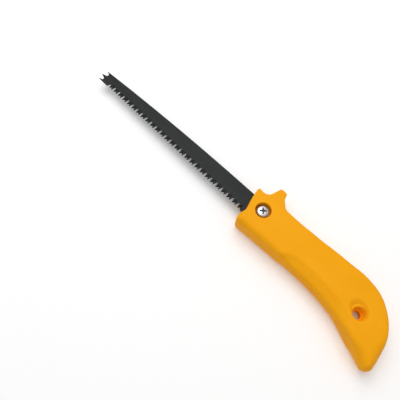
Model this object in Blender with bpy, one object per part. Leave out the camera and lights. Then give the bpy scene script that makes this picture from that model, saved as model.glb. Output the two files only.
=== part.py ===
"""Wallboard jab saw with an auger tip: a toothed blade clamped between two moulded handle shells.

The saw lies on its side. +X runs from the auger tip to the butt of the handle, +Y from the
teeth to the back, and +Z is up, on the side of the clamp screw. The origin is under the centre
of the saw's bounding box, on the surface that it lies on.

Sizes are worked out in a bench frame: x from the screw's axis, y from the line of the tooth
tips, z from the parting plane between the shells. The empty "saw_origin" carries that frame.
"""
import math

import bmesh
import bpy
import numpy as np
from mathutils import Vector
from mathutils.geometry import delaunay_2d_cdt

MM = 0.001
GAP = 0.3 * MM                      # clearance between faces that touch on the real saw
THROUGH = (-12 * MM, 12 * MM)       # heights of a cutter that passes through both shells

# Handle
HANDLE_THICKNESS = 19.0 * MM        # three quarters of an inch over both cheeks
WALL = 2.4 * MM                     # moulded wall
EDGE_RADIUS = 2.6 * MM              # round edge between side wall and cheek
FRONT_EDGE_RADIUS = 0.9 * MM        # the same around the ear and the front
NOSE_EDGE_RADIUS = 4.6 * MM         # under the blade, as far as the grip
TIP_EDGE_RADIUS = 8.0 * MM          # and at the hooked tip of the butt
BELLY_SLOPE = 0.5                   # fall of the belly bevel beyond its crease
BACK_BEVEL = (9.0 * MM, 1.9 * MM)   # width in from the side wall, drop below the cheek
BACK_GRIP = (34 * MM, 84 * MM)      # stretch of the back that carries its bevel
SEAT_END = 19.0 * MM                # solid front block that clamps the tang
RIB_X = (38 * MM, 57 * MM, 76 * MM)
RIB_THICKNESS = 2.0 * MM
PEG_SPOTS = ((28.5 * MM, 8 * MM), (66.5 * MM, 9 * MM), (110 * MM, -9 * MM))
PEG_RADIUS = 2.0 * MM
PEG_LENGTH = 4.0 * MM
PEG_BOSS_RADIUS = 4.6 * MM

# Hanging hole: a dished rim, a steep well and a thin web in the middle
HANG_AT = (94.5 * MM, 1.5 * MM)
HANG_RADIUS = 2.9 * MM
HANG_WEB = 4.5 * MM
WELL_TOP_RADIUS = 4.6 * MM
WELL_BOTTOM_RADIUS = 3.1 * MM
DISH_RADIUS = 6.6 * MM
DISH_DEPTH = 2.2 * MM
DISH_LOBE = (3.4 * MM, math.radians(150))   # how far the dish runs out on one side, and where
HANG_BOSS_RADIUS = 10.0 * MM

# Blade
BLADE_THICKNESS = 1.2 * MM
TIP_X = -186.3 * MM
TIP_WIDTH = 10.0 * MM
ROOT_WIDTH = 17.6 * MM
TOOTH_PITCH = 2.958 * MM
TOOTH_COUNT = 53
LAST_TOOTH_X = -16.9 * MM           # point of the tooth nearest to the handle
GULLETS = (2.2 * MM, 3.9 * MM)      # height of the gullet right of an even tooth, and of an odd one
TOOTH_LEAN = 0.36                   # where along its pitch a tooth has its point
BLADE_BOW = 1.4 * MM                # how far the back bows out in the middle
# Three auger spikes, from back to teeth: x behind the foremost point, and y.
AUGER_SPIKES = ((1.2 * MM, 10.2 * MM), (0, 5.0 * MM), (1.4 * MM, 0))
# The round notch after a spike: x of its bottom behind the foremost point, and its range of y.
AUGER_NOTCHES = ((5.0 * MM, 9.5 * MM, 6.0 * MM), (5.1 * MM, 4.0 * MM, 0.8 * MM))
NOTCH_RADIUS_X = 2.3 * MM
TANG_END = 15.0 * MM
TANG_Y = (1.6 * MM, 16.2 * MM)
TANG_SHOULDER = -3.0 * MM           # x where the full blade width narrows to the tang
SLOT_WIDTH = 5.8 * MM

# Clamp screw, washer and nut, M5
SCREW_Y = 8.9 * MM
SHANK_RADIUS = 2.4 * MM
SCREW_LENGTH = 14.0 * MM
HEAD_RADIUS = 4.75 * MM
HEAD_HEIGHT = 3.4 * MM
HEAD_BELOW_CHEEK = 0.9 * MM
RECESS_ARM = (0.55 * MM, 2.7 * MM)  # half width and half length of the cross recess
RECESS_ANGLE = math.radians(43)
HEAD_EDGE = 1.3 * MM                # round edge of the head, below its slightly domed top
HEAD_CROWN = 0.5 * MM
RECESS_DEPTH = 2.0 * MM
WASHER_RADII = (2.75 * MM, 5.0 * MM)
WASHER_THICKNESS = 1.0 * MM
COUNTERBORE_RADIUS = 6.1 * MM
BOLT_HOLE_RADIUS = 2.9 * MM
NUT_ACROSS_FLATS = 8.0 * MM
NUT_HEIGHT = 4.0 * MM
NUT_BELOW_CHEEK = 1.2 * MM
NUT_BORE_RADIUS = 2.75 * MM
NUT_POCKET_FLATS = 8.6 * MM

HALF = HANDLE_THICKNESS / 2
HEAD_SEAT = HALF - HEAD_BELOW_CHEEK - HEAD_HEIGHT       # underside of the screw head
WASHER_TOP = HEAD_SEAT - GAP
COUNTERBORE_FLOOR = WASHER_TOP - WASHER_THICKNESS - GAP
NUT_OUTER = -HALF + NUT_BELOW_CHEEK
NUT_INNER = NUT_OUTER + NUT_HEIGHT

# Handle outline, clockwise from the front top corner: x, y and fillet radius in millimetres.
# None asks for the largest arc that fits between the neighbouring corners.
HANDLE_CORNERS = (
    (-14.9, 20.5, 1.6),             # front top corner
    (-5.6, 19.7, 5.5),              # scoop ahead of the ear
    (-2.5, 32.1, 1.8),              # ear
    (3.2, 32.1, 2.2),
    (5.1, 27.0, 3.0),
    (10.6, 22.1, 4.0),
    (32.0, 22.0, None),             # back of the grip
    (54.0, 25.1, None),
    (80.0, 26.0, None),
    (98.0, 23.2, None),             # round butt
    (111.5, 12.2, None),
    (119.0, -0.7, None),
    (121.8, -11.3, None),
    (122.8, -26.4, 4.2),            # hooked tip of the butt
    (101.1, -15.5, None),
    (82.0, -9.7, None),             # belly
    (62.0, -7.3, None),
    (36.0, -7.4, None),
    (14.0, -8.7, None),
    (-9.6, -10.0, 2.6),             # nose under the blade
    (-11.2, -5.0, None),            # kinked front edge
    (-9.0, -0.5, None),
    (-10.6, 4.0, None),
    (-13.6, 13.5, None),
)

# Crease where the cheek turns down into the belly bevel: x and y in millimetres.
BELLY_CREASE = (
    (28.5, -8.5), (31.0, -6.2), (34.5, -2.7), (38.5, -0.6), (44.0, 0.4), (51.0, 0.8), (61.0, 0.5),
    (70.0, -0.4), (77.0, -1.5), (84.0, -3.2), (92.0, -6.2), (100.0, -11.0), (106.0, -16.0),
)


def material(name, colour, roughness, metallic=0.0):
    """A Principled material."""
    made = bpy.data.materials.new(name)
    made.use_nodes = True
    shader = made.node_tree.nodes["Principled BSDF"]
    shader.inputs["Base Color"].default_value = (*colour, 1.0)
    shader.inputs["Roughness"].default_value = roughness
    shader.inputs["Metallic"].default_value = metallic
    return made


def rounded_path(corners, step_deg=11.0, longest=4.0 * MM):
    """Closed path of straight runs and arcs past a list of (x, y, radius) corners."""
    points = []
    count = len(corners)
    for i, (x, y, radius) in enumerate(corners):
        here = np.array((x, y))
        back = np.array(corners[i - 1][:2]) - here
        ahead = np.array(corners[(i + 1) % count][:2]) - here
        back_len = np.linalg.norm(back)
        ahead_len = np.linalg.norm(ahead)
        back /= back_len
        ahead /= ahead_len
        half_angle = math.acos(np.clip(back @ ahead, -1, 1)) / 2
        if radius is None:
            radius = 0.5 * min(back_len, ahead_len) * math.tan(half_angle)
        reach = radius / math.tan(half_angle)
        middle = back + ahead
        middle /= np.linalg.norm(middle)
        centre = here + middle * radius / math.sin(half_angle)
        first = here + back * reach - centre
        turn = math.pi - 2 * half_angle
        side = np.sign(back[0] * ahead[1] - back[1] * ahead[0])
        pieces = max(2, math.ceil(math.degrees(turn) / step_deg), math.ceil(turn * radius / longest))
        for k in range(pieces + 1):
            angle = -side * turn * k / pieces
            cos, sin = math.cos(angle), math.sin(angle)
            turned_by = np.array(((cos, -sin), (sin, cos)))
            points.append(centre + turned_by @ first)
    return np.array([p for i, p in enumerate(points) if np.linalg.norm(p - points[i - 1]) > 0.05 * MM])


def distance_to(path, points, closed=True):
    """Distance from each point to a path."""
    starts = path if closed else path[:-1]
    ends = np.roll(path, -1, axis=0) if closed else path[1:]
    along = ends - starts
    length2 = (along ** 2).sum(1)
    offset = points[:, None, :] - starts[None]
    share = np.clip((offset * along[None]).sum(2) / length2, 0, 1)
    return np.sqrt(((offset - share[..., None] * along[None]) ** 2).sum(2)).min(1)


def inside(path, points):
    """True for each point inside a closed path."""
    x, y = points[:, :1], points[:, 1:]
    x0, y0 = path[:, 0], path[:, 1]
    x1, y1 = np.roll(x0, -1), np.roll(y0, -1)
    crosses = ((y0 > y) != (y1 > y)) & (x < (x1 - x0) * (y - y0) / np.where(y1 == y0, 1, y1 - y0) + x0)
    return crosses.sum(1) % 2 == 1


def inset(path, amount, tolerance=0.03):
    """The path moved inward, without the points that fall too near another stretch of it."""
    tangent = np.roll(path, -1, axis=0) - np.roll(path, 1, axis=0)
    tangent /= np.linalg.norm(tangent, axis=1)[:, None]
    amount = np.broadcast_to(amount, len(path))
    moved = path + amount[:, None] * np.stack((tangent[:, 1], -tangent[:, 0]), 1)
    return moved[inside(path, moved) & (distance_to(path, moved) > amount * (1 - tolerance))]


def circle(centre, radius, count):
    """Points around a circle."""
    angles = np.arange(count) * math.tau / count
    return np.stack((centre[0] + radius * np.cos(angles), centre[1] + radius * np.sin(angles)), 1)


def smooth_step(value, low, high):
    """0 below low, 1 above high, with a smooth change between."""
    t = np.clip((value - low) / (high - low), 0, 1)
    return t * t * (3 - 2 * t)


OUTLINE = rounded_path([(x * MM, y * MM, r if r is None else r * MM) for x, y, r in HANDLE_CORNERS])
BACK = OUTLINE[(OUTLINE[:, 1] > 15 * MM) & (OUTLINE[:, 0] > 13 * MM)]
CREASE_X, CREASE_Y = np.array(BELLY_CREASE).T * MM


def edge_radius(points):
    """Radius of the round edge nearest to each point: crisp in front, soft below and at the butt's tip."""
    x, y = points[:, 0], points[:, 1]
    front = (1 - smooth_step(x, 4 * MM, 14 * MM)) * smooth_step(y, -7 * MM, -1 * MM)
    hook = smooth_step(x, 98 * MM, 116 * MM) * (1 - smooth_step(y, -12 * MM, 6 * MM))
    nose = (1 - front) * (1 - smooth_step(x, 24 * MM, 40 * MM)) * (1 - smooth_step(y, -4 * MM, 2 * MM))
    radius = EDGE_RADIUS + (FRONT_EDGE_RADIUS - EDGE_RADIUS) * front
    radius += (NOSE_EDGE_RADIUS - EDGE_RADIUS) * nose
    return radius + (TIP_EDGE_RADIUS - EDGE_RADIUS) * hook


def rounded_ramp(value, softness):
    """value where it is positive and 0 elsewhere, with a soft start."""
    return (value + np.sqrt(value ** 2 + softness ** 2)) / 2


def dish_reach(points):
    """Radius of the dish around the hanging hole, in the direction of each point."""
    lobe, towards = DISH_LOBE
    angle = np.arctan2(points[:, 1] - HANG_AT[1], points[:, 0] - HANG_AT[0])
    return DISH_RADIUS + lobe * np.clip(np.cos(angle - towards), 0, 1) ** 2


def cheek_height(points):
    """Height of the handle's outer face above the parting plane, at points inside its outline."""
    x, y = points[:, 0], points[:, 1]
    height = np.full(len(points), HALF)
    fade = smooth_step(x, 26 * MM, 33 * MM) * (1 - smooth_step(x, 82 * MM, 104 * MM))
    height -= fade * BELLY_SLOPE * rounded_ramp(np.interp(x, CREASE_X, CREASE_Y) - y, 0.5 * MM)
    width, drop = BACK_BEVEL
    grip = smooth_step(x, BACK_GRIP[0], BACK_GRIP[0] + 14 * MM)
    grip *= 1 - smooth_step(x, BACK_GRIP[1] - 16 * MM, BACK_GRIP[1])
    height -= grip * drop * np.clip(1 - distance_to(BACK, points, closed=False) / width, 0, 1) ** 1.3
    radius = edge_radius(points)
    share = np.clip(1 - distance_to(OUTLINE, points) / radius, 0, 1)
    height -= radius * (1 - np.sqrt(1 - share ** 2))
    from_hole = np.hypot(x - HANG_AT[0], y - HANG_AT[1])
    reach = dish_reach(points)
    dish = DISH_DEPTH * (1 - smooth_step(from_hole / reach, WELL_TOP_RADIUS / DISH_RADIUS, 1))
    well = np.clip((WELL_TOP_RADIUS - from_hole) / (WELL_TOP_RADIUS - WELL_BOTTOM_RADIUS), 0, 1)
    floor = np.where(from_hole < reach, HALF - dish, HALF)
    floor -= well * (floor - HANG_WEB / 2)
    return np.minimum(height, floor)


def filled(loops, extra=()):
    """Triangles over the region between an outer loop and the loops inside it."""
    points = []
    edges = []
    for loop in loops:
        first = len(points)
        points += [Vector(p) for p in loop]
        edges += [(first + i, first + (i + 1) % len(loop)) for i in range(len(loop))]
    points += [Vector(p) for p in extra]
    flat, _, faces, _, _, _ = delaunay_2d_cdt(points, edges, [], 0, 1e-7)
    flat = np.array([tuple(p) for p in flat])
    middles = flat[np.array(faces)].mean(1)
    keep = inside(loops[0], middles)
    for hole in loops[1:]:
        keep &= ~inside(hole, middles)
    return flat, [face for face, good in zip(faces, keep) if good]


def add_object(name, mesh_source, made_of=None, smooth_deg=None):
    """Links an object made from a bmesh, with its material and shading."""
    mesh = bpy.data.meshes.new(name)
    bmesh.ops.recalc_face_normals(mesh_source, faces=mesh_source.faces)
    mesh_source.to_mesh(mesh)
    mesh_source.free()
    if smooth_deg is not None:
        mesh.shade_smooth()
        mesh.set_sharp_from_angle(angle=math.radians(smooth_deg))
    made = bpy.data.objects.new(name, mesh)
    bpy.context.scene.collection.objects.link(made)
    if made_of is None:
        made.hide_render = True
        made.display_type = "WIRE"
    else:
        mesh.materials.append(made_of)
    made.parent = bpy.data.objects["saw_origin"]
    return made


def between(name, loops, low, high, extra=(), made_of=None, smooth_deg=None):
    """A closed solid over a plan region. low and high are heights, or functions of plan points."""
    source = bmesh.new()
    outer_points = np.vstack(loops)
    rims = []
    for level, inner in ((low, extra if callable(low) else ()), (high, extra if callable(high) else ())):
        flat, faces = filled(loops, inner)
        z = level(flat) if callable(level) else np.full(len(flat), level)
        verts = [source.verts.new((x, y, height)) for (x, y), height in zip(flat, z)]
        for face in faces:
            source.faces.new([verts[i] for i in face])
        nearest = ((outer_points[:, None] - flat[None]) ** 2).sum(2).argmin(1)
        rims.append([verts[i] for i in nearest])
    start = 0
    for loop in loops:
        count = len(loop)
        for i in range(count):
            a, b = start + i, start + (i + 1) % count
            source.faces.new((rims[0][a], rims[0][b], rims[1][b], rims[1][a]))
        start += count
    return add_object(name, source, made_of, smooth_deg)


def cylinder(name, centre, radius, low, high, sides=32):
    """An upright cylinder."""
    return between(name, [circle(centre, radius, sides)], low, high)


def block(name, x, y, low, high):
    """A box from its x and y ranges and its heights."""
    corners = np.array(((x[0], y[0]), (x[1], y[0]), (x[1], y[1]), (x[0], y[1])))
    return between(name, [corners], low, high)


def boolean(target, tool, operation="DIFFERENCE"):
    """Adds an exact Boolean modifier."""
    modifier = target.modifiers.new(f"{operation.lower()}_{tool.name}", "BOOLEAN")
    modifier.operation = operation
    modifier.solver = "EXACT"
    modifier.object = tool


def turned(name, profile, made_of, sides=32):
    """A solid of revolution about the screw's axis; profile is (radius, z) from bottom to top.

    A profile that starts and ends on the axis gives a plain solid, any other gives a ring.
    """
    source = bmesh.new()
    rings = []
    for radius, z in profile:
        if radius == 0:
            rings.append([source.verts.new((0, 0, z))])
        else:
            rings.append([source.verts.new((*p, z)) for p in circle((0, 0), radius, sides)])
    pairs = list(zip(rings, rings[1:]))
    if profile[0][0] > 0:
        pairs.append((rings[-1], rings[0]))
    for lower, upper in pairs:
        for i in range(sides):
            j = (i + 1) % sides
            corners = (lower[i % len(lower)], lower[j % len(lower)],
                       upper[j % len(upper)], upper[i % len(upper)])
            source.faces.new(dict.fromkeys(corners))
    made = add_object(name, source, made_of, smooth_deg=35)
    made.location = (0, SCREW_Y, 0)
    return made


def hexagon(across_flats):
    """The six corners of a nut on the screw's axis."""
    return circle((0, SCREW_Y), across_flats / math.sqrt(3), 6)


def cavity_tool():
    """The hollow of both shells: the grip's inside, less its ribs and bosses."""
    around = inset(OUTLINE, WALL)
    around = around[around[:, 0] > SEAT_END]
    grid = plan_grid(around, 8 * MM, margin=2 * MM)
    tool = between("cavity", [around], lambda p: WALL - cheek_height(p), lambda p: cheek_height(p) - WALL,
                   grid)
    for i, x in enumerate(RIB_X):
        across = (x - RIB_THICKNESS / 2, x + RIB_THICKNESS / 2)
        boolean(tool, block(f"rib_{i}", across, (-40 * MM, 40 * MM), *THROUGH))
    boolean(tool, cylinder("hang_boss", HANG_AT, HANG_BOSS_RADIUS, *THROUGH))
    for i, spot in enumerate(PEG_SPOTS):
        boolean(tool, cylinder(f"peg_boss_{i}", spot, PEG_BOSS_RADIUS, *THROUGH, sides=20))
    return tool


def plan_grid(loop, spacing, margin):
    """Staggered points inside a loop, no nearer to it than a margin."""
    low, high = loop.min(0), loop.max(0)
    rows = []
    for k, y in enumerate(np.arange(low[1], high[1], spacing * 0.87)):
        x = np.arange(low[0] + (k % 2) * spacing / 2, high[0], spacing)
        rows.append(np.stack((x, np.full(len(x), y)), 1))
    points = np.vstack(rows)
    return points[inside(loop, points) & (distance_to(loop, points) > margin)]


def outer_half(name, side, made_of):
    """One half of the handle's outside, closed along the parting plane."""
    edge = edge_radius(OUTLINE)
    rings = [inset(OUTLINE, share * edge) for share in (0.3, 0.65, 1)]
    bevel_foot = inset(OUTLINE, BACK_BEVEL[0])
    rings.append(bevel_foot[bevel_foot[:, 1] > 8 * MM])
    for radius in (WELL_BOTTOM_RADIUS, WELL_TOP_RADIUS, 0.8 * DISH_RADIUS, DISH_RADIUS):
        rings.append(circle(HANG_AT, radius, 28))
    x = np.arange(29 * MM, 100 * MM, 3 * MM)
    crease = np.interp(x, CREASE_X, CREASE_Y)
    beside = np.vstack([np.stack((x, crease + shift), 1) for shift in (-0.5 * MM, 0.5 * MM)])
    beside = beside[inside(OUTLINE, beside)]
    rings.append(beside[distance_to(OUTLINE, beside) > EDGE_RADIUS + 1 * MM])
    grid = plan_grid(OUTLINE, 5 * MM, margin=5.5 * MM)
    grid = grid[np.hypot(grid[:, 0] - HANG_AT[0], grid[:, 1] - HANG_AT[1]) > DISH_RADIUS + 1 * MM]
    grid = grid[np.abs(grid[:, 1] - np.interp(grid[:, 0], CREASE_X, CREASE_Y)) > 2 * MM]
    extra = np.vstack(rings + [grid])
    loops = [OUTLINE, circle(HANG_AT, HANG_RADIUS, 28)]
    if side > 0:
        return between(name, loops, GAP / 2, cheek_height, extra, made_of, smooth_deg=32)
    return between(name, loops, lambda p: -cheek_height(p), -GAP / 2, extra, made_of, smooth_deg=32)


def tang_pocket():
    """The slot for the blade: open at the front edge, narrowed behind the shoulders."""
    low_y, high_y = TANG_Y[0] - GAP, TANG_Y[1] + GAP
    wide_low, wide_high = -GAP, ROOT_WIDTH + 2 * GAP
    shoulder = TANG_SHOULDER + GAP
    end = TANG_END + GAP
    corners = np.array(((-30 * MM, wide_low), (shoulder, wide_low), (shoulder + low_y - wide_low, low_y),
                        (end, low_y), (end, high_y), (shoulder + wide_high - high_y, high_y),
                        (shoulder, wide_high), (-30 * MM, wide_high)))
    depth = BLADE_THICKNESS / 2 + GAP
    return between("tang_pocket", [corners], -depth, depth)


def handle_shells(plastic):
    """The two moulded halves: screw side with pegs, nut side with sockets."""
    screw_side = outer_half("screw_side_shell", 1, plastic)
    nut_side = outer_half("nut_side_shell", -1, plastic)
    hollow = cavity_tool()
    pocket = tang_pocket()
    bolt_hole = cylinder("bolt_hole", (0, SCREW_Y), BOLT_HOLE_RADIUS, *THROUGH)
    for shell in (screw_side, nut_side):
        for tool in (hollow, pocket, bolt_hole):
            boolean(shell, tool)
    counterbore = cylinder("counterbore", (0, SCREW_Y), COUNTERBORE_RADIUS, COUNTERBORE_FLOOR, THROUGH[1])
    boolean(screw_side, counterbore)
    boolean(nut_side, between("nut_pocket", [hexagon(NUT_POCKET_FLATS)], THROUGH[0], NUT_INNER + GAP))
    for i, spot in enumerate(PEG_SPOTS):
        boolean(screw_side, cylinder(f"peg_{i}", spot, PEG_RADIUS, -PEG_LENGTH, 2 * MM, sides=20), "UNION")
        depth = PEG_LENGTH + GAP
        boolean(nut_side, cylinder(f"socket_{i}", spot, PEG_RADIUS + GAP, -depth, 1 * MM, sides=20))


def blade_width(x):
    """Width of the blade from the tooth line to its slightly bowed back."""
    t = (x - TIP_X) / (LAST_TOOTH_X - TIP_X)
    return TIP_WIDTH + (ROOT_WIDTH - TIP_WIDTH) * t + 4 * BLADE_BOW * t * (1 - t)


def auger_end():
    """The end of the blade from back to teeth: three spikes around two round notches."""
    points = []
    for (spike_x, spike_y), (bottom, high, low) in zip(AUGER_SPIKES, AUGER_NOTCHES):
        points.append((TIP_X + spike_x, spike_y))
        centre_x = TIP_X + bottom - NOTCH_RADIUS_X
        centre_y, radius_y = (high + low) / 2, (high - low) / 2
        for a in np.radians(np.linspace(90, -90, 7)):
            points.append((centre_x + NOTCH_RADIUS_X * math.cos(a), centre_y + radius_y * math.sin(a)))
    points.append((TIP_X + AUGER_SPIKES[-1][0], AUGER_SPIKES[-1][1]))
    return points


def saw_blade(steel):
    """The blade: three auger spikes, a row of tall teeth, and a forked tang around the screw."""
    points = auger_end()
    for k in range(TOOTH_COUNT, -1, -1):
        tip = LAST_TOOTH_X - k * TOOTH_PITCH
        points += [(tip, 0), (tip + (1 - TOOTH_LEAN) * TOOTH_PITCH, GULLETS[k % 2])]
    heel = points[-1][0] + 1.2 * MM
    points += [(heel, 0), (TANG_SHOULDER, 0)]
    points += [(TANG_SHOULDER + TANG_Y[0], TANG_Y[0]), (TANG_END, TANG_Y[0])]
    slot = SLOT_WIDTH / 2
    points.append((TANG_END, SCREW_Y - slot))
    for k in range(13):
        angle = -math.pi / 2 - math.pi * k / 12
        points.append((slot * math.cos(angle), SCREW_Y + slot * math.sin(angle)))
    points += [(TANG_END, SCREW_Y + slot), (TANG_END, TANG_Y[1])]
    shoulder_width = blade_width(TANG_SHOULDER)
    points += [(TANG_SHOULDER + shoulder_width - TANG_Y[1], TANG_Y[1]), (TANG_SHOULDER, shoulder_width)]
    back_steps = 16
    back_end = TIP_X + AUGER_SPIKES[0][0]
    for k in range(1, back_steps):
        x = TANG_SHOULDER + (back_end - TANG_SHOULDER) * k / back_steps
        points.append((x, blade_width(x)))
    half = BLADE_THICKNESS / 2
    return between("saw_blade", [np.array(points)], -half, half, made_of=steel)


def clamp_hardware(zinc):
    """Cross-recess pan-head screw, the washer it carries, and the nut held in the far shell."""
    tip = HEAD_SEAT - SCREW_LENGTH
    edge_low = HEAD_SEAT + HEAD_HEIGHT - HEAD_CROWN - HEAD_EDGE
    dome = [(HEAD_RADIUS - HEAD_EDGE * (1 - math.cos(a)), edge_low + HEAD_EDGE * math.sin(a))
            for a in np.radians((0, 25, 50, 75))]
    point = 0.6 * MM
    screw = turned("clamp_screw", [(0, tip), (SHANK_RADIUS - point, tip), (SHANK_RADIUS, tip + point),
                                   (SHANK_RADIUS, HEAD_SEAT), (HEAD_RADIUS, HEAD_SEAT), *dome,
                                   (0, HEAD_SEAT + HEAD_HEIGHT)], zinc)
    arm, reach = RECESS_ARM
    cross = [(reach, -arm), (reach, arm), (arm, arm), (arm, reach), (-arm, reach), (-arm, arm),
             (-reach, arm), (-reach, -arm), (-arm, -arm), (-arm, -reach), (arm, -reach), (arm, -arm)]
    cos, sin = math.cos(RECESS_ANGLE), math.sin(RECESS_ANGLE)
    cross = np.array(cross) @ np.array(((cos, sin), (-sin, cos))) + (0, SCREW_Y)
    top = HEAD_SEAT + HEAD_HEIGHT
    boolean(screw, between("cross_recess", [cross], top - RECESS_DEPTH, top + 1 * MM))
    inner, outer = WASHER_RADII
    low = WASHER_TOP - WASHER_THICKNESS
    turned("captive_washer", [(inner, low), (outer, low), (outer, WASHER_TOP), (inner, WASHER_TOP)], zinc)
    bore = circle((0, SCREW_Y), NUT_BORE_RADIUS, 24)
    between("clamp_nut", [hexagon(NUT_ACROSS_FLATS), bore], NUT_OUTER, NUT_INNER, made_of=zinc)


def clear_scene():
    """Removes every object of the open scene."""
    for old in list(bpy.data.objects):
        bpy.data.objects.remove(old, do_unlink=True)


def main():
    """Builds the saw."""
    clear_scene()
    origin = bpy.data.objects.new("saw_origin", None)
    bpy.context.scene.collection.objects.link(origin)
    low, high = OUTLINE.min(0), OUTLINE.max(0)
    origin.location = (-(TIP_X + high[0]) / 2, -(low[1] + high[1]) / 2, HALF)
    plastic = material("moulded_plastic", (0.93, 0.42, 0.02), 0.42)
    steel = material("coated_steel", (0.032, 0.036, 0.036), 0.45, 0.3)
    zinc = material("zinc_plated_steel", (0.78, 0.78, 0.76), 0.28, 1.0)
    handle_shells(plastic)
    saw_blade(steel)
    clamp_hardware(zinc)


main()
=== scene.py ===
"""Looks of the wallboard jab saw: fine meshes, materials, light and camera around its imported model.

Lengths are in metres. Shapes are worked out in the saw's bench frame: x from the clamp screw's
axis towards the butt, y from the line of the tooth tips towards the back, z from the parting
plane of the handle. BENCH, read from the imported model, is where that frame's origin lies.
"""

import math

import bmesh
import bpy
import numpy as np
from mathutils import Matrix, Vector
from mathutils.geometry import delaunay_2d_cdt


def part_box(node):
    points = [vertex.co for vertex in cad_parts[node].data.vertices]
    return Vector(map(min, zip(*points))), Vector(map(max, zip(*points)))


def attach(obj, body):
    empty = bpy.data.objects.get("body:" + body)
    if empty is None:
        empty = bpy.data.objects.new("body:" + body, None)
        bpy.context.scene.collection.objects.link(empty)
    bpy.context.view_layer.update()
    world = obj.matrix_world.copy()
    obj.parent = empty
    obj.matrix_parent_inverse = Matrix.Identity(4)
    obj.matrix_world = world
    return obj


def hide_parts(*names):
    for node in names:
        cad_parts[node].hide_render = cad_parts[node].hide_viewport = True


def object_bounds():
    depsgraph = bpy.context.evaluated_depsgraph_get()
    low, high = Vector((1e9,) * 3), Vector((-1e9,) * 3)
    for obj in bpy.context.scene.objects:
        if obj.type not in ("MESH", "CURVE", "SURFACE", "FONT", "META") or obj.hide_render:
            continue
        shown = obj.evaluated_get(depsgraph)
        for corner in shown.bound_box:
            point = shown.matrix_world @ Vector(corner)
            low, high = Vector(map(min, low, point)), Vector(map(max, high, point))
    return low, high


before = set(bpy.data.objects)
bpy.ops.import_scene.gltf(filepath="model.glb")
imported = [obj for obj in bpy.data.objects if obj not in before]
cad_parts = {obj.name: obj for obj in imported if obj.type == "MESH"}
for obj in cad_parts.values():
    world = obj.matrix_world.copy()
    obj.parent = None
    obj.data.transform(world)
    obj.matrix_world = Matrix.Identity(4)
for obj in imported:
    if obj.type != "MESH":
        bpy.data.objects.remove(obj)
CAD_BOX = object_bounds()

MM = 0.001

# Fineness of the meshes
ARC_STEP_DEG = 4.0
LONGEST_EDGE = 1.3 * MM             # of an outline
NEAREST_POINTS = 0.05 * MM          # an outline's points are at least this far apart
ROW_STEP = 0.87                     # rows of a staggered grid, against its spacing along a row
MERGE_DISTANCE = 1e-7


def bench_origin():
    """The bench frame's origin in the row frame."""
    screw_low, screw_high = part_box("clamp_screw")
    nut_side_low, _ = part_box("nut_side_shell")
    _, screw_side_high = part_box("screw_side_shell")
    return Vector(((screw_low.x + screw_high.x) / 2,
                   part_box("saw_blade")[0].y,
                   (nut_side_low.z + screw_side_high.z) / 2))


BENCH = bench_origin()
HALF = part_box("screw_side_shell")[1].z - BENCH.z
SCREW_Y = (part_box("clamp_screw")[0].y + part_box("clamp_screw")[1].y) / 2 - BENCH.y
SCREW_AXIS = BENCH + Vector((0, SCREW_Y, 0))
HEAD_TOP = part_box("clamp_screw")[1].z - BENCH.z
SCREW_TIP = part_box("clamp_screw")[0].z - BENCH.z
HEAD_RADIUS = (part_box("clamp_screw")[1].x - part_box("clamp_screw")[0].x) / 2
WASHER_LOW, WASHER_TOP = (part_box("captive_washer")[k].z - BENCH.z for k in (0, 1))
WASHER_RADIUS = (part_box("captive_washer")[1].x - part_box("captive_washer")[0].x) / 2
NUT_OUTER, NUT_INNER = (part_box("clamp_nut")[k].z - BENCH.z for k in (0, 1))
NUT_CORNER_RADIUS = (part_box("clamp_nut")[1].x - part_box("clamp_nut")[0].x) / 2
TIP_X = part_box("saw_blade")[0].x - BENCH.x
TANG_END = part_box("saw_blade")[1].x - BENCH.x
BLADE_HALF = (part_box("saw_blade")[1].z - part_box("saw_blade")[0].z) / 2

# Handle
WALL = 2.4 * MM                     # moulded wall
EDGE_RADIUS = 2.6 * MM              # round edge between side wall and cheek
FRONT_EDGE_RADIUS = 0.9 * MM        # the same around the ear and the front
NOSE_EDGE_RADIUS = 4.6 * MM         # under the blade, as far as the grip
TIP_EDGE_RADIUS = 8.0 * MM          # and at the hooked tip of the butt
SEAM = 0.12 * MM                    # hairline between the shells
SEAM_ROUND = 0.15 * MM
BELLY_SLOPE = 0.5                   # fall of the belly bevel beyond its crease
BELLY_SOFT = 0.5 * MM
BELLY_START = (26 * MM, 33 * MM)    # x over which the belly bevel sets in
BELLY_END = (82 * MM, 104 * MM)     # and over which it ends
BACK_BEVEL = (9.0 * MM, 1.9 * MM)   # width in from the side wall, drop below the cheek
BACK_CURVE = 1.3                    # power of its fall
BACK_GRIP = (34 * MM, 84 * MM)      # stretch of the back that carries its bevel
BACK_FADE = (14 * MM, 16 * MM)      # lengths over which it sets in and ends
SEAT_END = 19.0 * MM                # solid front block that clamps the tang
RIB_X = (38 * MM, 57 * MM, 76 * MM)
RIB_THICKNESS = 2.0 * MM
PEG_SPOTS = ((28.5 * MM, 8 * MM), (66.5 * MM, 9 * MM), (110 * MM, -9 * MM))
PEG_RADIUS = 2.0 * MM
PEG_LENGTH = 4.0 * MM
PEG_BOSS_RADIUS = 4.6 * MM
PEG_ROOT = 2 * MM                   # depth of a peg in its own shell
SOCKET_TOP = 1 * MM
FIT = 0.3 * MM                      # room around a peg, tang or nut
THROUGH = (-12 * MM, 12 * MM)       # heights of a cutter that passes through both shells
HANDLE_SMOOTH_DEG = 30

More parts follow.
